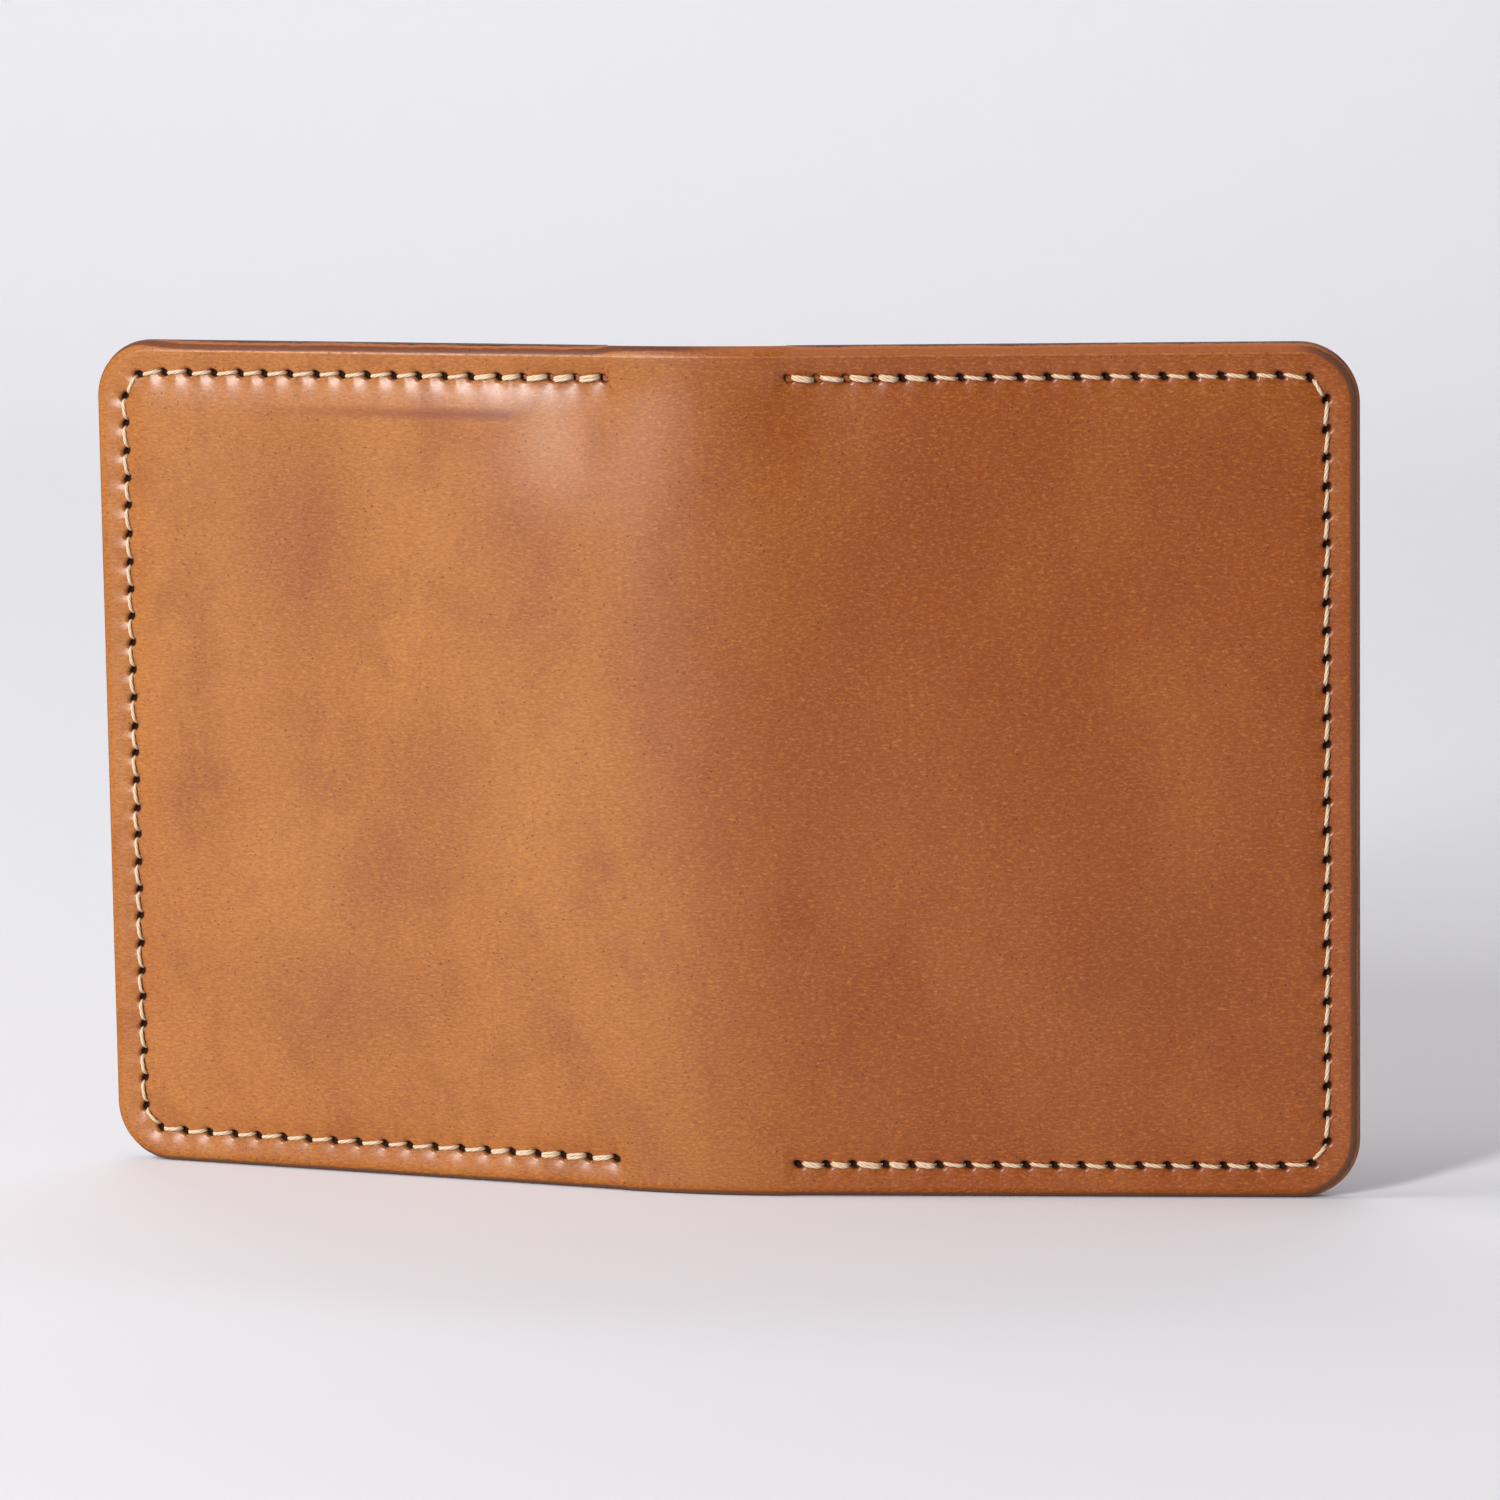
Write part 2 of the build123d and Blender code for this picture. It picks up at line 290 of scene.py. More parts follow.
stitching = {
    "pitch": 3.4,  # of one stitch, as the shapes round a hole are drawn
    "threadRadius": 0.235,
    "doubledRadius": 0.86,  # share of the radius where two strands lie side by side
    "plies": 3,
    "plyValley": 0.8,  # share of the radius between two plies
    "plyCrown": 0.24,  # added to it on a ply
    "flattening": 0.86,
    "twistLength": 2.6,  # of one turn of the plies
    "stitchSlant": 7.5,  # degrees from the seam line
    "holeSlant": 36.0,
    "holeLong": 0.66,  # half length of the slanted hole
    "holeShort": 0.44,
    "reach": 0.15,  # part of a stitch, at each end, that runs down inside its hole
    "rise": 0.05,  # thread's centre over the leather, at mid stitch
    "sink": 0.8,
    "bowPower": 4.5,  # how squarely a stitch turns down into its holes
    "sections": 22,
    "sides": 14,
    "puckerAlong": 2.3,  # squares of the width over which a hole draws the leather down
    "puckerAcross": 2.2,
    "bedWidth": 1.5,  # of the shallow groove that the whole seam lies in
    "wander": 0.12,  # hole places stray by this much
    "tackStitches": 5,  # doubled at each end of an edge seam
    "tackWander": 0.3,
    "tackGap": 0.32,
    "seed": 11,
}


def holePlaces(path, count, side, tacked):
    pitch = pathLength(path) / count
    rng = random.Random(stitching["seed"] + side)
    places = []
    for k in range(count + 1):
        inTack = tacked and min(k, count - k) < stitching["tackStitches"]
        stray = stitching["tackWander"] if inTack else stitching["wander"]
        places.append(pitch * k + (rng.uniform(-stray, stray) if 0 < k < count else 0))
    return np.array(places)


def seamFields(points, path, places):
    # seam coordinates of flat points: stitch number along, and millimetres across, positive on the right of travel
    distance, where = nearest(points, path)
    on, tangent = alongPath(path, where)
    offset = points - on
    across = offset[:, 0] * tangent[:, 1] - offset[:, 1] * tangent[:, 0]
    number = np.interp(where, places, np.arange(len(places)))
    beyond = np.sqrt(np.maximum(distance**2 - across**2, 0))
    number = np.where(where <= 0, -beyond / stitching["pitch"], number)
    number = np.where(where >= pathLength(path) - 1e-6, len(places) - 1 + beyond / stitching["pitch"], number)
    return number, across


def holeDip(number, across, slantSign, depth, count, pucker):
    # leather pulled down round each hole, and the hole itself
    a = ((number + 0.5) % 1 - 0.5) * stitching["pitch"]
    here = (number > -0.45) & (number < count + 0.45)
    t = math.radians(stitching["holeSlant"]) * slantSign
    x = a * math.cos(t) + across * math.sin(t)
    y = -a * math.sin(t) + across * math.cos(t)
    r = np.sqrt((x / stitching["holeLong"]) ** 2 + (y / stitching["holeShort"]) ** 2)
    hole = 1 - smooth(0.6, 1.2, r)
    dip = np.exp(-(a**2) / stitching["puckerAlong"] - across**2 / stitching["puckerAcross"])
    bed = np.exp(-((across / stitching["bedWidth"]) ** 2)) * ((number > -0.3) & (number < count + 0.3))
    return here * (depth * hole + pucker * dip) + 0.5 * pucker * bed


# Looks
class Wire:
    # an output socket whose operators add Math nodes
    def __init__(self, graph, socket):
        self.graph, self.socket = graph, socket

    def __add__(self, other):
        return self.graph.maths("ADD", self, other)

    def __sub__(self, other):
        return self.graph.maths("SUBTRACT", self, other)

    def __mul__(self, other):
        return self.graph.maths("MULTIPLY", self, other)

    def __truediv__(self, other):
        return self.graph.maths("DIVIDE", self, other)

    def __rsub__(self, other):
        return self.graph.maths("SUBTRACT", other, self)

    def __rtruediv__(self, other):
        return self.graph.maths("DIVIDE", other, self)

    def __pow__(self, other):
        return self.graph.maths("POWER", self, other)

    __radd__ = __add__
    __rmul__ = __mul__


class Graph:
    def __init__(self, name):
        self.material = bpy.data.materials.new(name)
        self.material.use_nodes = True
        self.tree = self.material.node_tree
        self.tree.nodes.clear()

    def node(self, kind, settings=None, inputs=None, output=0):
        made = self.tree.nodes.new(kind)
        for key, value in (settings or {}).items():
            setattr(made, key, value)
        for key, value in (inputs or {}).items():
            socket = made.inputs[key]
            if isinstance(value, Wire):
                self.tree.links.new(value.socket, socket)
            elif value is not None:
                socket.default_value = value
        return Wire(self, made.outputs[output]) if len(made.outputs) else made

    def maths(self, operation, a, b=None):
        return self.node("ShaderNodeMath", {"operation": operation}, {0: a, 1: b})

    def attribute(self, name, output="Fac"):
        return self.node("ShaderNodeAttribute", {"attribute_name": name}, output=output)

    def noise(self, place, scale, detail=3.0, roughness=0.5, stretch=(1, 1, 1), distortion=0.0):
        spot = self.node("ShaderNodeVectorMath", {"operation": "MULTIPLY"}, {0: place, 1: stretch})
        return self.node("ShaderNodeTexNoise", {"noise_dimensions": "3D"}, {
            "Vector": spot, "Scale": scale, "Detail": detail, "Roughness": roughness, "Distortion": distortion})

    def cells(self, place, scale, feature="F1"):
        return self.node("ShaderNodeTexVoronoi", {"feature": feature, "voronoi_dimensions": "2D"}, {
            "Vector": place, "Scale": scale}, "Distance")

    def ease(self, value, low, high):
        return self.node("ShaderNodeMapRange", {"interpolation_type": "SMOOTHSTEP"}, {
            "Value": value, "From Min": low, "From Max": high, "To Min": 0.0, "To Max": 1.0})

    def blend(self, factor, a, b):
        return self.node("ShaderNodeMix", {"data_type": "RGBA"}, {0: factor, 6: colour(a), 7: colour(b)}, 2)

    def bump(self, height, strength, distance):
        return self.node("ShaderNodeBump", None, {"Height": height, "Strength": strength, "Distance": distance})

    def finish(self, **inputs):
        shader = self.node("ShaderNodeBsdfPrincipled", None, {
            key.replace("_", " "): value for key, value in inputs.items()})
        self.node("ShaderNodeOutputMaterial", None, {"Surface": shader})
        return self.material


def colour(value):
    # screen colours written 0-255 become linear
    if isinstance(value, Wire):
        return value
    return tuple(((c / 255 + 0.055) / 1.055) ** 2.4 if c > 10 else c / 3294.6 for c in value) + (1.0,)


coverLook = {
    # amber and brown: painted light, the lit left half drawn amber and the shaded right half brown, also mixed by
    # random clouds of tone
    "amber": (171, 106, 45),
    "brown": (139, 66, 11),
    "red": (121, 55, 13),
    "gold": (214, 140, 60),
    "burnish": (92, 46, 30),
    # burnishTanHighlight: a painted highlight on the rounded edge; burnishGrey: painted shade down the right side
    # edge, and greyer along the foot
    "burnishTanHighlight": (166, 97, 55),
    "burnishGrey": (88, 62, 50),
    "burnishDark": (50, 31, 24),
    # arris: a painted highlight along the top arris
    "arrisHighlight": (226, 164, 120),
    # hole: painted shade inside the stitch holes
    "hole": (46, 25, 16),
    "roughness": 0.42,
    "specular": 0.12,
    "coat": 0.75,
    "coatRoughness": 0.27,
    "creaseHeight": 93.6,
    # darker clouds in the hide: place across and up, size both ways, strength
    "clouds": [(-51, 79, 9, 13, 0.55), (-41, 37, 8, 7, 0.5), (-33, 49, 8, 9, 0.4), (-49, 22, 14, 8, 0.5),
               (-21, 74, 8, 16, 0.3), (-3, 70, 9, 24, 0.35), (55, 29, 14, 12, 0.6), (14, 56, 10, 16, 0.35),
               (36, 83, 18, 9, 0.3), (64, 88, 9, 8, 0.3)],
}


def coverLeather():
    g = Graph("amberCoverLeather")
    spot = g.attribute("flatPlace", "Vector")  # millimetres over the hide
    across = g.node("ShaderNodeSeparateXYZ", None, {"Vector": spot}, "X")
    upwards = g.node("ShaderNodeSeparateXYZ", None, {"Vector": spot}, "Y")
    cloud = g.noise(spot, 0.05, 3.0, 0.5, (1.0, 0.6, 1.0), 0.3)
    patch = g.noise(spot, 0.13, 4.0, 0.6, (1.0, 0.7, 1.0), 0.2)
    fine = g.noise(spot, 1.0, 4.0, 0.6, (0.9, 1.6, 1.0))
    wiggle = g.noise(spot, 1.0, 2.0, 0.55, (1.5, 3.8, 1.0), 0.8)
    crackle = g.ease(wiggle, 0.36, 0.64)
    grit = g.noise(spot, 2.6, 4.0, 0.75, (0.6, 1.35, 1.0), 0.6)
    pores = (1 - g.ease(g.cells(spot, 0.55), 0.03, 0.09)) * g.ease(g.noise(spot, 0.25, 1.0), 0.48, 0.62)
    # painted light across the hide: amber on the lit left half, darker brown on the shaded right half, mixed with
    # random clouds of tone
    paintedShadeAndTone = g.ease(across, -21.0, 20.0) * 0.8 + g.ease(cloud, 0.35, 0.7) * 0.35
    tone = g.blend(paintedShadeAndTone, coverLook["amber"], coverLook["brown"])
    dark = 0.0
    for x, z, wide, tall, strength in coverLook["clouds"]:
        far = g.maths("SQRT", ((across - x) / wide) ** 2 + ((upwards - z) / tall) ** 2)
        dark = (1 - g.ease(far + (patch - 0.5) * 1.6, 0.1, 1.5)) * strength + dark
    tone = g.blend(dark * 0.75, tone, coverLook["red"])
    tone = g.blend(g.ease(patch, 0.42, 0.75) * 0.4, tone, coverLook["red"])
    tone = g.blend(crackle * 0.16, tone, coverLook["red"])
    tone = g.blend(g.ease(grit, 0.48, 0.7) * 0.34, tone, coverLook["gold"])
    tone = g.blend((1 - g.ease(grit, 0.34, 0.52)) * 0.4, tone, coverLook["red"])
    tone = g.blend(pores * 0.65, tone, coverLook["burnishDark"])
    # the crease pressed in along the mouth of the hidden slot, drawn darker red as painted shade in the crease
    level = g.maths("ABSOLUTE", (fine - 0.5) * 0.5 + (upwards - coverLook["creaseHeight"]))
    crease = (1 - g.ease(level, 0.1, 1.1)) * (1 - g.ease(across, -24.5, -19.5)) * g.ease(across, -66.0, -24.0)
    tone = g.blend(crease * 0.8, tone, coverLook["red"])
    edge = g.attribute("edgeDistance")
    edgeWearAndPaintedLight = (patch - 0.5) * 0.5 + (fine - 0.5) * 0.3 + edge
    # the burnish is broad along the top and the right side and thin down the left and along the foot. Part of this is
    # painted light: the band is thin down the lit left side, turns grey on the right side as painted shade, and
    # carries a painted tan highlight along the top and the right
    onTop = g.ease(upwards, 97.0, 101.0) * g.ease(across, -77.0, -64.0)
    onRight = g.ease(across, 69.5, 74.5)
    onFoot = (1 - g.ease(upwards, 0.8, 3.0)) * (1 - onRight)
    rightTop = onTop * g.ease(across, -4.0, 6.0) * (1 - onRight)
    onSpine = 1 - g.ease(g.maths("ABSOLUTE", across), 9.5, 12.5)
    broad = g.maths("MAXIMUM", onTop * (1 - onSpine * 0.6), onRight)
    edgeWearAndPaintedLight = (1 - broad) * (0.82 - onFoot * 0.3) + edgeWearAndPaintedLight
    # painted shade: the band turns grey down the right side, which faces away from the light
    band = g.blend(onRight, coverLook["burnish"], coverLook["burnishGrey"])
    # painted highlight: tan along the top edge of the right half
    band = g.blend(rightTop * 0.75, band, coverLook["burnishTanHighlight"])
    band = g.blend(onFoot * 0.8, band, coverLook["burnishGrey"])
    tone = g.blend((1 - g.ease(edgeWearAndPaintedLight, 1.0, 1.3)) * 0.85, tone, band)
    # painted highlight: a tan stripe along the rounded edge of the top and the right side
    tan = (1 - g.ease(edgeWearAndPaintedLight, onRight * -0.1 + 0.38, onRight * -0.05 + 0.5)) * broad
    tone = g.blend(tan * 0.85, tone, coverLook["burnishTanHighlight"])
    tone = g.blend((1 - g.ease(edgeWearAndPaintedLight, 0.08, 0.2)) * (1 - onRight * 0.6) * 0.9, tone, coverLook["burnishDark"])
    # painted highlight: a light line along the top arris, where the face turns into the rounded edge
    arrisHighlight = g.ease(edge, 1.1, 1.24) * (1 - g.ease(edge, 1.28, 1.42)) * g.ease(fine, 0.3, 0.6)
    tone = g.blend(arrisHighlight * onTop * (1 - onRight) * (1 - rightTop * 0.6) * 0.5, tone, coverLook["arrisHighlight"])
    number, side = g.attribute("seamNumber"), g.attribute("seamAcross")
    a = (g.maths("FRACT", number + 0.5) - 0.5) * stitching["pitch"]
    slant = math.radians(stitching["holeSlant"])
    x = a * math.cos(slant) + side * math.sin(slant)
    y = side * math.cos(slant) - a * math.sin(slant)
    ring = g.maths("SQRT", (x / stitching["holeLong"]) ** 2 + (y / stitching["holeShort"]) ** 2)
    onSeam = g.maths("GREATER_THAN", number, -0.4) * g.maths("LESS_THAN", number, holder["stitches"] + 0.4)
    hole = (1 - g.ease(ring, 0.8, 1.12)) * onSeam
    halo = (1 - g.ease(ring, 0.9, 2.0)) * onSeam
    tone = g.blend(halo * 0.3, tone, coverLook["burnish"])
    # painted shade: each stitch hole is drawn near black-brown
    tone = g.blend(hole, tone, coverLook["hole"])
    relief = g.bump(fine * 0.4 + grit * 0.5 + crackle * -0.35 + pores * -0.6 + crease * -0.8, 0.5, 0.00016)
    rough = fine * 0.10 + patch * 0.12 + crackle * 0.05 + (coverLook["roughness"] - 0.13)
    rough = g.maths("MAXIMUM", rough, hole * 0.9)
    # no wax in the holes, and little on the burnished edge
    bare = g.maths("MAXIMUM", hole, (1 - g.ease(edge, 0.9, 1.3)) * 0.9)
    return g.finish(Base_Color=tone, Roughness=rough, Normal=relief, Coat_Weight=(1 - bare) * coverLook["coat"],
                    Coat_Roughness=coverLook["coatRoughness"], Coat_IOR=1.45,
                    Specular_IOR_Level=coverLook["specular"])


liningLook = {"tan": (186, 118, 74), "brown": (150, 86, 48), "edge": (66, 40, 26), "roughness": 0.5}


def liningLeather():
    g = Graph("tanLiningLeather")
    spot = g.attribute("flatPlace", "Vector")
    cloud = g.noise(spot, 0.06, 3.0, 0.55)
    fine = g.noise(spot, 1.6, 4.0, 0.65)
    grain = g.cells(spot, 1.8, "DISTANCE_TO_EDGE")
    lines = 1 - g.ease(grain, 0.0, 0.14)
    tone = g.blend(g.ease(cloud, 0.3, 0.8) * 0.6 + 0.15, liningLook["tan"], liningLook["brown"])
    tone = g.blend(lines * 0.18 + fine * 0.14, tone, liningLook["brown"])
    edge = g.attribute("edgeDistance")
    rim = 1 - g.ease(g.noise(spot, 0.6, 2.0) * 0.3 + edge, 0.5, 0.95)
    crease = g.ease(edge, 1.75, 1.95) * (1 - g.ease(edge, 2.1, 2.3))
    tone = g.blend(rim * 0.85, tone, liningLook["edge"])
    tone = g.blend(crease * 0.45, tone, liningLook["edge"])
    bump = g.bump(fine * 0.4 + lines * -0.3 + crease * -0.9, 0.35, 0.00016)
    return g.finish(Base_Color=tone, Roughness=fine * 0.15 + liningLook["roughness"], Normal=bump,
                    Coat_Weight=0.1, Coat_Roughness=0.35)


# shade: painted shade for the grooves between the plies, also used for random fuzz
threadLook = {"cream": (224, 203, 172), "paintedShadeAndTone": (160, 124, 88), "roughness": 0.62}


def seamThread():
    g = Graph("waxedCreamThread")
    ply = g.attribute("plyPlace")  # 0 in the groove between plies, 1 on a ply's crown
    run = g.attribute("flatPlace", "Vector")
    fuzz = g.noise(run, 9.0, 3.0, 0.7)
    # painted shade: the grooves between plies are drawn darker and the crowns cream
    tone = g.blend(g.ease(ply, 0.0, 0.7), threadLook["paintedShadeAndTone"], threadLook["cream"])
    tone = g.blend(fuzz * 0.35, tone, threadLook["paintedShadeAndTone"])
    bump = g.bump(fuzz, 0.3, 0.00008)
    return g.finish(Base_Color=tone, Roughness=fuzz * 0.2 + threadLook["roughness"] - 0.1, Normal=bump)


coverFinish, liningFinish, threadFinish = coverLeather(), liningLeather(), seamThread()
print("finishes made")

# Outer cover: one hide, made as two meshes that meet at the middle of the spine
coverShape = {
    "edgeRound": 1.25,  # how far in from the edge the burnished rounding starts
    "grid": 1.3,
    "backGrid": 2.2,
    "spacing": 0.3,
    "edgePower": 2.2,
    "middle": 0.62,  # depth of the cut edge's middle over the spine
    "backedMiddle": 0.45,  # added to it where the lining backs the cover
    "backedBlend": 1.5,
    "holeDepth": 0.7,
    "pucker": 0.24,
    "wave": 0.09,
    "slotPrint": 0.07,  # how far the hidden slot's edge pushes the leather out
    "slotPrintHeight": 94.0,
    "slotPrintStart": 20.6,
    "foldStart": 2.9,  # from the spine's middle, where the hide bends when the holder closes; here the mesh only gets closer columns
    "foldEnd": 7.4,
    "foldStep": 0.375,
    "pinch": 0.75,  # how far the seam draws the top in beside the spine
}
seamRings = [(0.1, 0.3), (0.22, 0.3), (0.38, 0.3), (0.58, 0.3), (0.82, 0.35), (1.1, 0.4), (1.35, 0.5), (1.8, 0.6),
             (2.3, 0.5), (2.7, 0.4), (3.0, 0.3), (3.22, 0.28), (3.42, 0.26), (3.6, 0.24), (3.78, 0.24), (3.95, 0.24),
             (4.12, 0.24), (4.3, 0.26), (4.5, 0.28), (4.75, 0.3), (5.05, 0.4), (5.5, 0.6), (6.2, 0.9)]


def waves(side, u, z):
    # soft unevenness of the hide, the same on both sides of the spine's middle
    x = side * u
    return (np.sin(x / 9.1 + 0.6) * np.sin(z / 31 + x / 40) + 0.6 * np.sin(x / 5.3 + z / 23 + 2.0)
            + 0.5 * np.sin(z / 13.7 + x / 17))


def backing(u):
    # 1 where the lining backs the cover, and the depth of the cut edge's middle there
    joined = smooth(halfSpine - coverShape["backedBlend"], halfSpine + coverShape["backedBlend"], u)
    return joined, coverShape["middle"] + coverShape["backedMiddle"] * joined


def coverHalf(side):
    corners = [(0, 0, 0, True), (halfWidth, 0, holder["cornerRadius"], True),
               (halfWidth, height, holder["cornerRadius"], True), (0, height, 0, False)]
    fold = (coverShape["foldStart"], coverShape["foldEnd"], coverShape["foldStep"])
    flat, faces, cut = planMesh(corners, seamRings, coverShape["grid"], coverShape["spacing"], fold)
    u, z = flat[:, 0], flat[:, 1]
    edgeDistance = nearest(flat, cut)[0]
    places = holePlaces(edgeSeam, holder["stitches"], side, True)
    number, across = seamFields(flat, edgeSeam, places)
    middle = backing(u)[1]
    t = np.clip(edgeDistance / coverShape["edgeRound"], 0, 1)
    v = middle * (0.86 * edgeRounding(t, coverShape["edgePower"]) + 0.14 * (1 - t))
    v = v + holeDip(number, across, side, coverShape["holeDepth"], holder["stitches"], coverShape["pucker"])
    calm = smooth(0.6, 6.0, edgeDistance)
    v = v + coverShape["wave"] * waves(side, u, z) * calm
    if side < 0:
        above = z - coverShape["slotPrintHeight"]
        ridge = np.where(above > 0, np.exp(-((above / 0.55) ** 2)), np.exp(-((above / 3.2) ** 2)))
        start = coverShape["slotPrintStart"]
        v = v - coverShape["slotPrint"] * ridge * smooth(start, start + 2.5, u) * calm
    fromTop = height - z
    v = v + coverShape["pinch"] * (1 - smooth(3.0, 23.0, fromTop)) * np.exp(-(((u - 15.0) / 8.5) ** 2)) * calm
    backFlat, backFaces, _ = planMesh(corners, [(0.2, 0.6), (0.6, 1.0)], coverShape["backGrid"],
                                      coverShape["spacing"], fold)
    backEdge = nearest(backFlat, cut)[0]
    backJoined, backMiddle = backing(backFlat[:, 0])
    backRound = np.clip(backEdge / (1.0 - 0.8 * backJoined), 0, 1)
    thickness = holder["coverThickness"]
    backV = thickness - (thickness - backMiddle) * edgeRounding(backRound, coverShape["edgePower"])
    backV = backV - 0.03 * backJoined
    n = len(flat)
    points = np.concatenate([place(side, u, v, z), place(side, backFlat[:, 0], backV, backFlat[:, 1])])
    # the two faces share the points of the cut edge
    key = {(round(p[0], 4), round(p[1], 4)): i for i, p in enumerate(flat) if edgeDistance[i] < 1e-4}
    index = [key.get((round(p[0], 4), round(p[1], 4)), n + i) if backEdge[i] < 1e-4 else n + i
             for i, p in enumerate(backFlat)]
    front = faces if side > 0 else [f[::-1] for f in faces]
    back = [tuple(index[i] for i in (f[::-1] if side > 0 else f)) for f in backFaces]
    attributes = {
        "flatPlace": np.concatenate([np.stack([side * u, z, 0 * u], -1),
                                     np.stack([side * backFlat[:, 0] + 300, backFlat[:, 1], 0 * backFlat[:, 0]], -1)]),
        "edgeDistance": np.concatenate([edgeDistance, backEdge]),
        "seamNumber": np.concatenate([number, np.full(len(backFlat), -9.0)]),
        "seamAcross": np.concatenate([across * side, np.full(len(backFlat), 9.0)]),
    }
    return closedMesh("cover" + sideWord(side).capitalize(), points, front + back, attributes, coverFinish)


coverPieces = {side: coverHalf(side) for side in (-1, 1)}
print("cover made", [len(p.data.vertices) for p in coverPieces.values()])


# Sheets of the inside: a heightfield over a flat outline, with both faces and a softly rounded cut edge
sheetShape = {"edgeRound": 0.35, "spacing": 0.5, "holeDepth": 0.4, "pucker": 0.14}
innerRings = [(0.12, 0.5), (0.28, 0.5), (0.55, 0.5), (1.0, 0.7), (1.6, 0.8), (2.1, 0.8), (2.7, 0.7), (3.2, 0.45),
              (3.55, 0.35), (3.8, 0.35), (4.05, 0.35), (4.35, 0.4), (4.8, 0.5), (5.4, 0.7), (6.2, 0.9)]
slotRings = [(0.12, 0.8), (0.3, 0.8), (0.6, 0.9), (1.1, 1.0), (1.7, 1.1), (2.1, 1.2), (2.6, 1.2)]


def leatherSheet(name, side, corners, lowV, highV, lift, rings, grid, dips, grainShift=0):
    flat, faces, cut = planMesh(corners, rings, grid, sheetShape["spacing"])
    edgeDistance = nearest(flat, cut)[0]
    u, z = flat[:, 0], flat[:, 1]
    bow = (highV - lowV) / 2 * edgeRounding(np.clip(edgeDistance / sheetShape["edgeRound"], 0, 1), 2)
    raised = lift(u, z)
    top = highV + raised - bow
    bottom = lowV + raised + bow
    for path, places, count in dips:
        number, across = seamFields(flat, path, places)
        top = top - holeDip(number, across, -side, sheetShape["holeDepth"], count, sheetShape["pucker"])
    n = len(flat)
    shared = edgeDistance < 1e-4
    index = [i if shared[i] else n + i for i in range(n)]
    points = np.concatenate([place(side, u, top, z), place(side, u, bottom, z)])
    front = [f[::-1] if side > 0 else f for f in faces]
    back = [tuple(index[i] for i in (f if side > 0 else f[::-1])) for f in faces]
    spot = np.stack([side * u + grainShift, z, 0 * u], -1)
    attributes = {"flatPlace": np.concatenate([spot, spot + (150, 0, 0)]),
                  "edgeDistance": np.concatenate([edgeDistance, edgeDistance])}
    return closedMesh(name, points, front + back, attributes, liningFinish)


pockets = {
    "farEdge": 5.2,  # from the side edge to the room for the cards
    "cardRoom": 58.0,
    "wall": 0.7,
    "freeEdge": 2.9,  # from the card room to the pockets' free side, beside the spine
    "slotMouth": 94.0,
    "slotTabLow": 84.3,
    "slotCorner": 8.0,
    "slotFloor": 14.2,
    "slotEnd": 11.0,
    "pocketMouth": 84.0,
    "pocketFloor": 4.5,
    "moulding": 2.6,  # width over which a pocket rises off the lining
    "mouldingCorner": 3.0,
    "sag": 0.15,  # how far the empty pocket bellies out
    "seamAside": 1.2,  # from the card room to the pockets' own seam
    "seamLow": 7.3,
    "seamHigh": 88.2,
    "stitches": 24,
}
roomFar = halfWidth - pockets["farEdge"]
roomNear = roomFar - pockets["cardRoom"]
freeSide = roomNear - pockets["freeEdge"]
stemNear, stemFar = roomNear + 0.5, roomFar - 0.3
slotLift = holder["cardGap"]
pocketLift = 2 * holder["cardGap"] + holder["slotThickness"]


def noLift(u, z):
    return 0 * u


def slotShape(u, z):
    # the slot stands off the lining by a card, down to its seam
    across = smooth(roomNear - 0.7, roomNear + 0.9, u) * smooth(-roomFar - 0.7, -roomFar + 0.9, -u)
    return slotLift * across * smooth(pockets["slotFloor"] - 0.9, pockets["slotFloor"] + 0.6, z)


def pocketShape(u, z):
    wall, soft = pockets["wall"], pockets["mouldingCorner"]
    left, right, low = u - (roomNear - wall), roomFar + wall - u, z - pockets["pocketFloor"]
    d = np.minimum(left, right)
    nearCorner = (d < soft) & (low < soft)
    rounded = soft - np.sqrt(np.maximum((soft - d) ** 2 + (soft - low) ** 2, 0))
    inset = np.where(nearCorner, rounded, np.minimum(d, low))
    across = np.sin(math.pi * np.clip((u - roomNear) / pockets["cardRoom"], 0, 1))
    return pocketLift * smooth(0, pockets["moulding"], inset) + pockets["sag"] * smooth(25, 84, z) * across


seamPitch = pathLength(edgeSeam) / holder["stitches"]
pocketSeam = np.array([(roomNear - pockets["seamAside"], pockets[k]) for k in ("seamLow", "seamHigh")])


def insideLevel(u, z):
    # depth of the uppermost leather inside, at a stitch
    if z < pockets["pocketMouth"] and u > freeSide:
        return innerFace + holder["pocketThickness"]
    if pockets["slotTabLow"] < z < pockets["slotMouth"] and u > freeSide:
        return innerFace + holder["slotThickness"]
    return innerFace


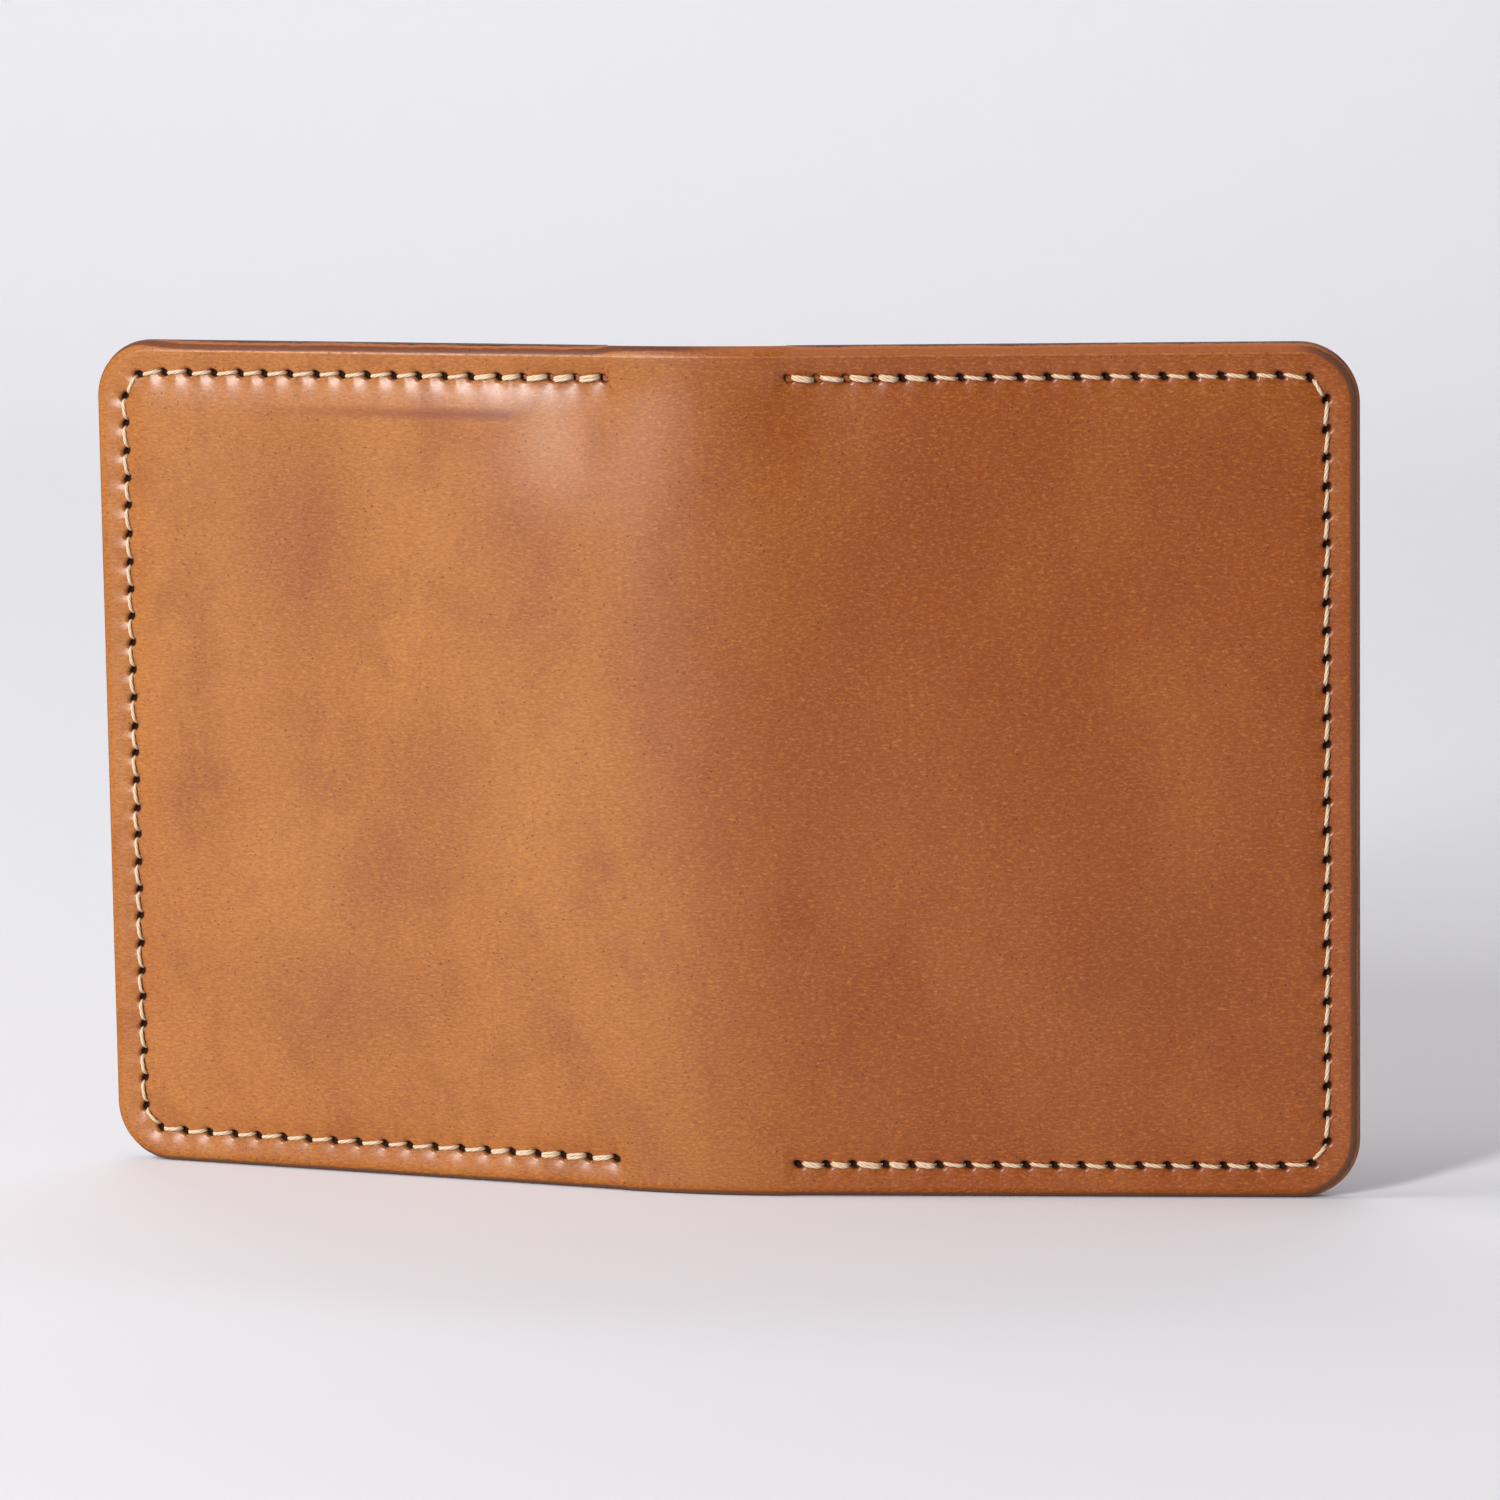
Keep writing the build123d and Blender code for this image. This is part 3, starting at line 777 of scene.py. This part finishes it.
def insidePieces(side):
    word = sideWord(side)
    places = holePlaces(edgeSeam, holder["stitches"], side, True)
    dips = [(edgeSeam, places, holder["stitches"])]
    pocketPlaces = holePlaces(pocketSeam, pockets["stitches"], side, False)
    pocketDips = dips + [(pocketSeam, pocketPlaces, pockets["stitches"])]
    corner = holder["cornerRadius"]
    lining = leatherSheet(
        word + "Lining", side,
        [(halfSpine, 0, 0.8, True), (halfWidth, 0, corner, True), (halfWidth, height, corner, True),
         (halfSpine, height, 0.8, True)],
        holder["coverThickness"], innerFace, noLift, innerRings, 1.2, pocketDips)
    slot = leatherSheet(
        word + "RearSlot", side,
        [(stemNear, pockets["slotEnd"], 0.6, True), (stemFar, pockets["slotEnd"], 0.6, True),
         (stemFar, pockets["slotTabLow"], 0.3, True), (halfWidth, pockets["slotTabLow"], 0.3, True),
         (halfWidth, pockets["slotMouth"], 0.3, True), (freeSide, pockets["slotMouth"], pockets["slotCorner"], True),
         (freeSide, pockets["slotTabLow"], 0.3, True), (stemNear, pockets["slotTabLow"], 0.3, True)],
        innerFace, innerFace + holder["slotThickness"], slotShape, slotRings, 1.1, pocketDips, grainShift=400)
    pocket = leatherSheet(
        word + "FrontPocket", side,
        [(freeSide, 0, 0.8, True), (halfWidth, 0, corner, True), (halfWidth, pockets["pocketMouth"], 0.4, True),
         (freeSide, pockets["pocketMouth"], 0.8, True)],
        innerFace, innerFace + holder["pocketThickness"], pocketShape, innerRings, 1.2, pocketDips, grainShift=800)
    return lining, slot, pocket, places, pocketPlaces


# Threads: each stitch is a short twisted cord that comes out of one slanted hole and goes into the next
def stitchRun(name, side, path, places, level, outwards, slantSign, doubled=0):
    points, tangent = alongPath(path, places)
    count = len(places) - 1
    sections, sides, power = stitching["sections"], stitching["sides"], stitching["bowPower"]
    drop = stitching["sink"] + stitching["rise"]
    verts, faces, ply, spots = [], [], [], []
    rng = random.Random(stitching["seed"] * 3 + side)
    for k in range(count):
        strands = [0.0]
        if doubled and min(k, count - 1 - k) < doubled:
            strands = [-stitching["tackGap"] / 2, stitching["tackGap"] / 2]
        run = points[k + 1] - points[k]
        length = np.linalg.norm(run)
        if length < 1e-6:
            continue
        runDirection = run / length
        normal = np.array([-runDirection[1], runDirection[0]])
        lean = math.tan(math.radians(stitching["stitchSlant"])) * slantSign
        depth0, depth1 = level(*points[k]), level(*points[k + 1])
        higher = max(depth0, depth1) if outwards < 0 else min(depth0, depth1)
        for strand in strands:
            jitter, phase = rng.uniform(-0.05, 0.05), rng.uniform(0, 6.28)
            share = stitching["doubledRadius"] if len(strands) > 1 else 1.0
            radius = stitching["threadRadius"] * share * rng.uniform(0.95, 1.05)
            base = len(verts)
            for i in range(sections + 1):
                t = i / sections
                x = (t - 0.5) * (length - 2 * stitching["reach"] * seamPitch)
                sideways = x * lean + strand * (1 - 0.5 * abs(2 * t - 1) ** 3) + jitter
                bow = 1 - abs(2 * t - 1) ** power
                rise = -stitching["sink"] + drop * bow
                slope = drop * power * abs(2 * t - 1) ** (power - 1) * 2 / length
                slope *= -1 if t > 0.5 else 1
                for j in range(sides):
                    a = 2 * math.pi * j / sides
                    twist = phase + 2 * math.pi * x / stitching["twistLength"]
                    lobe = abs(math.cos(stitching["plies"] / 2 * (a - twist)))
                    r = radius * (stitching["plyValley"] + stitching["plyCrown"] * lobe)
                    off, up = r * math.cos(a), r * math.sin(a) * stitching["flattening"]
                    norm = math.hypot(1, slope)
                    lengthwise = x - up * slope / norm
                    lift = rise + up / norm
                    p = (points[k] + points[k + 1]) / 2 + runDirection * lengthwise + normal * (sideways + off)
                    verts.append((p[0], p[1], higher - outwards * lift))
                    ply.append(lobe)
                    spots.append((p[0] * side, p[1], lift))
            for i in range(sections):
                for j in range(sides):
                    a, b = base + i * sides + j, base + i * sides + (j + 1) % sides
                    c, d = b + sides, a + sides
                    faces.append((a, b, c, d) if side * outwards > 0 else (d, c, b, a))
            faces.append(tuple(base + j for j in range(sides)))
            faces.append(tuple(base + sections * sides + j for j in reversed(range(sides))))
    flat = np.array(verts)
    return addMesh(name, place(side, flat[:, 0], flat[:, 2], flat[:, 1]), faces,
                   {"plyPlace": ply, "flatPlace": np.array(spots)}, threadFinish)


for side in (-1, 1):
    word = sideWord(side)
    body = word + "_half"
    lining, slot, pocket, places, pocketPlaces = insidePieces(side)
    outer = stitchRun(word + "EdgeStitchesOutside", side, edgeSeam, places, lambda u, z: 0.08, 1, -1,
                      stitching["tackStitches"])
    inner = stitchRun(word + "EdgeStitchesInside", side, edgeSeam, places, insideLevel, -1, 1,
                      stitching["tackStitches"])
    beside = stitchRun(word + "PocketStitches", side, pocketSeam, pocketPlaces, insideLevel, -1, 1)
    for piece, node in ((lining, "inner_panel"), (pocket, "front_pocket"), (outer, "edge_needle_thread"),
                        (inner, "edge_bobbin_thread"), (beside, "pocket_needle_thread")):
        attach(piece, body)
        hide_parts(f"{word}_{node}")
    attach(slot, body)
    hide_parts(f"{word}_rear_slot", f"{word}_slot_near_tab", f"{word}_slot_far_tab")
    cover = coverPieces[side]
    origin = np.array([0.0])
    bendStart, bendEnd = (place(side, np.array([coverShape[k]]), origin, origin)[0] for k in ("foldStart", "foldEnd"))
    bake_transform(cover)
    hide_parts(f"{word}_cover_panel", "spine_strip")
    for hidden in ("pocket_bobbin_thread", "slot_needle_thread", "slot_bobbin_thread"):
        node = frame["nodes"][f"{word}_{hidden}"]
        if not node.material_slots:
            node.data.materials.append(threadFinish)
        for materialSlot in node.material_slots:
            materialSlot.material = threadFinish
    print(word, "half made")

# Stage: a pale paper sweep, lit by five softboxes and a little even light from all round
stage = {"paper": (231, 230, 234), "fibre": (200, 200, 206), "front": 0.42, "reach": 3.0, "bend": 0.9,
         "bendSteps": 24, "wallHeight": 2.4}


def paperSweep():
    g = Graph("palePaper")
    spot = g.node("ShaderNodeNewGeometry", output="Position")
    grain = g.noise(spot, 900.0, 2.0)
    finish = g.finish(Base_Color=g.blend(grain * 0.02, stage["paper"], stage["fibre"]), Roughness=0.9,
                      Specular_IOR_Level=0.1)
    profile = [(-stage["front"], 0.0), (stage["bend"], 0.0)]
    for k in range(1, stage["bendSteps"] + 1):
        a = math.pi / 2 * k / stage["bendSteps"]
        profile.append((stage["bend"] + stage["bend"] * math.sin(a), stage["bend"] * (1 - math.cos(a))))
    profile.append((2 * stage["bend"], stage["wallHeight"] + stage["bend"]))
    verts = [(x, y, z) for y, z in profile for x in (-stage["reach"], stage["reach"])]
    faces = [(2 * i, 2 * i + 1, 2 * i + 3, 2 * i + 2) for i in range(len(profile) - 1)]
    addMesh("paperSweep", np.array(verts), faces, {}, finish)


paperSweep()

# azimuth from the front, towards the right, and height above the table, both in degrees; distance in metres
lights = {
    "leftStrip": {"azimuth": -25, "height": 19, "distance": 1.6, "size": (0.24, 0.8), "power": 27},
    "leftKey": {"azimuth": -78, "height": 40, "distance": 1.7, "size": (0.6, 0.6), "power": 11.5},
    "overhead": {"azimuth": 180, "height": 80, "distance": 1.7, "size": (1.6, 1.6), "power": 4},
    "rightCard": {"azimuth": 60, "height": 20, "distance": 1.4, "size": (0.6, 0.8), "power": 0.6},
    "wallWash": {"azimuth": -20, "height": 55, "distance": 1.5, "size": (1.8, 0.5), "power": 10,
                 "aim": (-0.3, 1.9, 0.3)},
}
air = {"colour": (237, 236, 241), "strength": 0.18}


def softbox(name, azimuth, height, distance, size, power, aim=(0.0, 0.0, holder["height"] / 2 * mm)):
    data = bpy.data.lights.new(name, "AREA")
    data.shape, data.size, data.size_y = "RECTANGLE", size[0], size[1]
    data.energy = power
    lamp = bpy.data.objects.new(name, data)
    bpy.context.scene.collection.objects.link(lamp)
    a, e = math.radians(azimuth), math.radians(height)
    back = Vector((math.sin(a) * math.cos(e), -math.cos(a) * math.cos(e), math.sin(e)))
    lamp.rotation_mode = "QUATERNION"
    lamp.rotation_quaternion = back.to_track_quat("Z", "Y")
    lamp.location = back * distance + Vector(aim)


for name, facts in lights.items():
    softbox(name, **facts)
world = bpy.context.scene.world or bpy.data.worlds.new("studioAir")
bpy.context.scene.world = world
world.use_nodes = True
background = world.node_tree.nodes["Background"]
background.inputs["Color"].default_value = colour(air["colour"])
background.inputs["Strength"].default_value = air["strength"]

# Camera, a long lens from a little above and to the right
view = {"lens": 144.1824, "sensorWidth": 36.0, "place": (164.9, -695.6, 152.0), "yaw": -12.975, "pitch": 7.891,
        "roll": -0.826}  # turns in degrees
camera = bpy.data.objects.new("camera", bpy.data.cameras.new("camera"))
bpy.context.scene.collection.objects.link(camera)
camera.data.sensor_width = view["sensorWidth"]
camera.data.lens = view["lens"]
camera.data.clip_start, camera.data.clip_end = 0.01, 20.0
yaw, pitch, roll = (math.radians(view[k]) for k in ("yaw", "pitch", "roll"))
forward = np.array([math.sin(yaw) * math.cos(pitch), math.cos(yaw) * math.cos(pitch), -math.sin(pitch)])
level = np.array([math.cos(yaw), -math.sin(yaw), 0])
up = np.cross(level, forward)
right = math.cos(roll) * level + math.sin(roll) * up
top = math.cos(roll) * up - math.sin(roll) * level
turned = Matrix([[right[i], top[i], -forward[i], view["place"][i] * mm] for i in range(3)] + [[0, 0, 0, 1]])
camera.matrix_world = turned
bpy.context.scene.camera = camera
bpy.context.scene.view_settings.view_transform = "Standard"
print("stage made")

bpy.context.view_layer.update()
